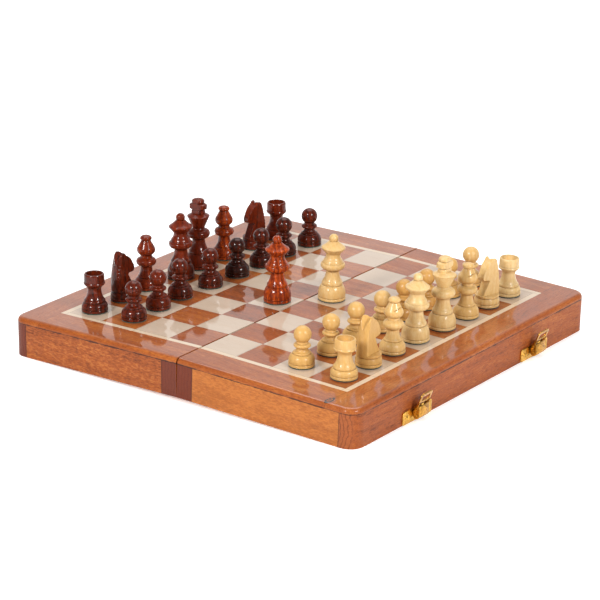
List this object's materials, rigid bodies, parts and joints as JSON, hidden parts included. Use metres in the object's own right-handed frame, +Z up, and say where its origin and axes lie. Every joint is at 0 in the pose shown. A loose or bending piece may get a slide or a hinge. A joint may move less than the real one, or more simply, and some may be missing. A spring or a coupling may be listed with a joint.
{
  "type": "folding chess box",
  "caption": "Folding wooden chess box, opened flat: two hinged tray halves carry the board on their backs, with turned and carved men standing on it and brass draw latches at one end.",
  "frame": {"origin": "on the table, under the middle of the seam between the two halves", "axes": "+X across the seam towards the light army's half and its latches, +Y along the seam, +Z up"},
  "size_m": [0.3133, 0.3048, 0.0841],
  "materials": {
    "core_ply": "plain",
    "rosewood_squares": "varnished",
    "rosewood_rails": "varnished",
    "rosewood_walls": "varnished",
    "maple": "varnished",
    "green_felt": "napped",
    "brass": "polished",
    "dark_men": "glossy",
    "light_men": "satin"
  },
  "bodies": {
    "right_half": {"right_board_panel": "core_ply", "right_dark_squares": "rosewood_squares", "right_maple_inlay": "maple", "right_border": "rosewood_rails", "right_end_wall": "rosewood_walls", "right_seam_wall": "rosewood_walls", "right_side_walls": "rosewood_walls", "right_felt_lining": "green_felt", "hinge_leaves_right": "brass", "hinge_screws_right": "brass", "latch_bases": "brass"},
    "left_half": {"left_board_panel": "core_ply", "left_dark_squares": "rosewood_squares", "left_maple_inlay": "maple", "left_border": "rosewood_rails", "left_end_wall": "rosewood_walls", "left_seam_wall": "rosewood_walls", "left_side_walls": "rosewood_walls", "left_felt_lining": "green_felt", "hinge_leaves_left": "brass", "hinge_screws_left": "brass", "latch_keepers": "brass"},
    "latch_lever_front": {"latch_lever_front": "brass"},
    "latch_bail_front": {"latch_bail_front": "brass"},
    "latch_lever_rear": {"latch_lever_rear": "brass"},
    "latch_bail_rear": {"latch_bail_rear": "brass"},
    "dark_rook_a": {"dark_rook_a": "dark_men"},
    "dark_knight_b": {"dark_knight_b": "dark_men"},
    "dark_bishop_c": {"dark_bishop_c": "dark_men"},
    "dark_queen_d": {"dark_queen_d": "dark_men"},
    "dark_king_e": {"dark_king_e": "dark_men"},
    "dark_bishop_f": {"dark_bishop_f": "dark_men"},
    "dark_knight_g": {"dark_knight_g": "dark_men"},
    "dark_rook_h": {"dark_rook_h": "dark_men"},
    "dark_pawn_a": {"dark_pawn_a": "dark_men"},
    "dark_pawn_b": {"dark_pawn_b": "dark_men"},
    "dark_pawn_c": {"dark_pawn_c": "dark_men"},
    "dark_pawn_d": {"dark_pawn_d": "dark_men"},
    "dark_pawn_e": {"dark_pawn_e": "dark_men"},
    "dark_pawn_f": {"dark_pawn_f": "dark_men"},
    "dark_pawn_g": {"dark_pawn_g": "dark_men"},
    "dark_pawn_h": {"dark_pawn_h": "dark_men"},
    "dark_spare_queen": {"dark_spare_queen": "dark_men"},
    "light_rook_a": {"light_rook_a": "light_men"},
    "light_knight_b": {"light_knight_b": "light_men"},
    "light_bishop_c": {"light_bishop_c": "light_men"},
    "light_queen_d": {"light_queen_d": "light_men"},
    "light_king_e": {"light_king_e": "light_men"},
    "light_bishop_f": {"light_bishop_f": "light_men"},
    "light_knight_g": {"light_knight_g": "light_men"},
    "light_rook_h": {"light_rook_h": "light_men"},
    "light_pawn_a": {"light_pawn_a": "light_men"},
    "light_pawn_b": {"light_pawn_b": "light_men"},
    "light_pawn_c": {"light_pawn_c": "light_men"},
    "light_pawn_d": {"light_pawn_d": "light_men"},
    "light_pawn_e": {"light_pawn_e": "light_men"},
    "light_pawn_f": {"light_pawn_f": "light_men"},
    "light_pawn_g": {"light_pawn_g": "light_men"},
    "light_pawn_h": {"light_pawn_h": "light_men"},
    "light_spare_queen": {"light_spare_queen": "light_men"}
  },
  "joints": [
    {"name": "fold_hinge", "type": "hinge", "parent": "right_half", "child": "left_half", "pos_m": [0, 0, 0.00275], "axis": [0, -1, 0], "range_deg": [-2.14, 177.86]},
    {"name": "latch_lever_front_turn", "type": "hinge", "parent": "right_half", "child": "latch_lever_front", "pos_m": [0.15347, -0.077, 0.00508], "axis": [0, -1, 0], "range_deg": [-85, 0]},
    {"name": "latch_bail_front_turn", "type": "hinge", "parent": "latch_lever_front", "child": "latch_bail_front", "pos_m": [0.15292, -0.077, 0.00769], "axis": [0, 1, 0], "range_deg": [-15, 160]},
    {"name": "latch_lever_rear_turn", "type": "hinge", "parent": "right_half", "child": "latch_lever_rear", "pos_m": [0.15347, 0.077, 0.00508], "axis": [0, -1, 0], "range_deg": [-85, 0]},
    {"name": "latch_bail_rear_turn", "type": "hinge", "parent": "latch_lever_rear", "child": "latch_bail_rear", "pos_m": [0.15292, 0.077, 0.00769], "axis": [0, 1, 0], "range_deg": [-15, 160]},
    {"name": "lift_dark_rook_a", "type": "slide", "parent": "left_half", "child": "dark_rook_a", "axis": [-0.0187, 0, 0.9998], "range_m": [0, 0.06]},
    {"name": "lift_dark_knight_b", "type": "slide", "parent": "left_half", "child": "dark_knight_b", "axis": [-0.0187, 0, 0.9998], "range_m": [0, 0.06]},
    {"name": "lift_dark_bishop_c", "type": "slide", "parent": "left_half", "child": "dark_bishop_c", "axis": [-0.0187, 0, 0.9998], "range_m": [0, 0.06]},
    {"name": "lift_dark_queen_d", "type": "slide", "parent": "left_half", "child": "dark_queen_d", "axis": [-0.0187, 0, 0.9998], "range_m": [0, 0.06]},
    {"name": "lift_dark_king_e", "type": "slide", "parent": "left_half", "child": "dark_king_e", "axis": [-0.0187, 0, 0.9998], "range_m": [0, 0.06]},
    {"name": "lift_dark_bishop_f", "type": "slide", "parent": "left_half", "child": "dark_bishop_f", "axis": [-0.0187, 0, 0.9998], "range_m": [0, 0.06]},
    {"name": "lift_dark_knight_g", "type": "slide", "parent": "left_half", "child": "dark_knight_g", "axis": [-0.0187, 0, 0.9998], "range_m": [0, 0.06]},
    {"name": "lift_dark_rook_h", "type": "slide", "parent": "left_half", "child": "dark_rook_h", "axis": [-0.0187, 0, 0.9998], "range_m": [0, 0.06]},
    {"name": "lift_dark_pawn_a", "type": "slide", "parent": "left_half", "child": "dark_pawn_a", "axis": [-0.0187, 0, 0.9998], "range_m": [0, 0.06]},
    {"name": "lift_dark_pawn_b", "type": "slide", "parent": "left_half", "child": "dark_pawn_b", "axis": [-0.0187, 0, 0.9998], "range_m": [0, 0.06]},
    {"name": "lift_dark_pawn_c", "type": "slide", "parent": "left_half", "child": "dark_pawn_c", "axis": [-0.0187, 0, 0.9998], "range_m": [0, 0.06]},
    {"name": "lift_dark_pawn_d", "type": "slide", "parent": "left_half", "child": "dark_pawn_d", "axis": [-0.0187, 0, 0.9998], "range_m": [0, 0.06]},
    {"name": "lift_dark_pawn_e", "type": "slide", "parent": "left_half", "child": "dark_pawn_e", "axis": [-0.0187, 0, 0.9998], "range_m": [0, 0.06]},
    {"name": "lift_dark_pawn_f", "type": "slide", "parent": "left_half", "child": "dark_pawn_f", "axis": [-0.0187, 0, 0.9998], "range_m": [0, 0.06]},
    {"name": "lift_dark_pawn_g", "type": "slide", "parent": "left_half", "child": "dark_pawn_g", "axis": [-0.0187, 0, 0.9998], "range_m": [0, 0.06]},
    {"name": "lift_dark_pawn_h", "type": "slide", "parent": "left_half", "child": "dark_pawn_h", "axis": [-0.0187, 0, 0.9998], "range_m": [0, 0.06]},
    {"name": "lift_dark_spare_queen", "type": "slide", "parent": "left_half", "child": "dark_spare_queen", "axis": [-0.0187, 0, 0.9998], "range_m": [0, 0.06]},
    {"name": "lift_light_rook_a", "type": "slide", "parent": "right_half", "child": "light_rook_a", "axis": [0.0187, 0, 0.9998], "range_m": [0, 0.06]},
    {"name": "lift_light_knight_b", "type": "slide", "parent": "right_half", "child": "light_knight_b", "axis": [0.0187, 0, 0.9998], "range_m": [0, 0.06]},
    {"name": "lift_light_bishop_c", "type": "slide", "parent": "right_half", "child": "light_bishop_c", "axis": [0.0187, 0, 0.9998], "range_m": [0, 0.06]},
    {"name": "lift_light_queen_d", "type": "slide", "parent": "right_half", "child": "light_queen_d", "axis": [0.0187, 0, 0.9998], "range_m": [0, 0.06]},
    {"name": "lift_light_king_e", "type": "slide", "parent": "right_half", "child": "light_king_e", "axis": [0.0187, 0, 0.9998], "range_m": [0, 0.06]},
    {"name": "lift_light_bishop_f", "type": "slide", "parent": "right_half", "child": "light_bishop_f", "axis": [0.0187, 0, 0.9998], "range_m": [0, 0.06]},
    {"name": "lift_light_knight_g", "type": "slide", "parent": "right_half", "child": "light_knight_g", "axis": [0.0187, 0, 0.9998], "range_m": [0, 0.06]},
    {"name": "lift_light_rook_h", "type": "slide", "parent": "right_half", "child": "light_rook_h", "axis": [0.0187, 0, 0.9998], "range_m": [0, 0.06]},
    {"name": "lift_light_pawn_a", "type": "slide", "parent": "right_half", "child": "light_pawn_a", "axis": [0.0187, 0, 0.9998], "range_m": [0, 0.06]},
    {"name": "lift_light_pawn_b", "type": "slide", "parent": "right_half", "child": "light_pawn_b", "axis": [0.0187, 0, 0.9998], "range_m": [0, 0.06]},
    {"name": "lift_light_pawn_c", "type": "slide", "parent": "right_half", "child": "light_pawn_c", "axis": [0.0187, 0, 0.9998], "range_m": [0, 0.06]},
    {"name": "lift_light_pawn_d", "type": "slide", "parent": "right_half", "child": "light_pawn_d", "axis": [0.0187, 0, 0.9998], "range_m": [0, 0.06]},
    {"name": "lift_light_pawn_e", "type": "slide", "parent": "right_half", "child": "light_pawn_e", "axis": [0.0187, 0, 0.9998], "range_m": [0, 0.06]},
    {"name": "lift_light_pawn_f", "type": "slide", "parent": "right_half", "child": "light_pawn_f", "axis": [0.0187, 0, 0.9998], "range_m": [0, 0.06]},
    {"name": "lift_light_pawn_g", "type": "slide", "parent": "right_half", "child": "light_pawn_g", "axis": [0.0187, 0, 0.9998], "range_m": [0, 0.06]},
    {"name": "lift_light_pawn_h", "type": "slide", "parent": "right_half", "child": "light_pawn_h", "axis": [0.0187, 0, 0.9998], "range_m": [0, 0.06]},
    {"name": "lift_light_spare_queen", "type": "slide", "parent": "right_half", "child": "light_spare_queen", "axis": [0.0187, 0, 0.9998], "range_m": [0, 0.06]}
  ]
}
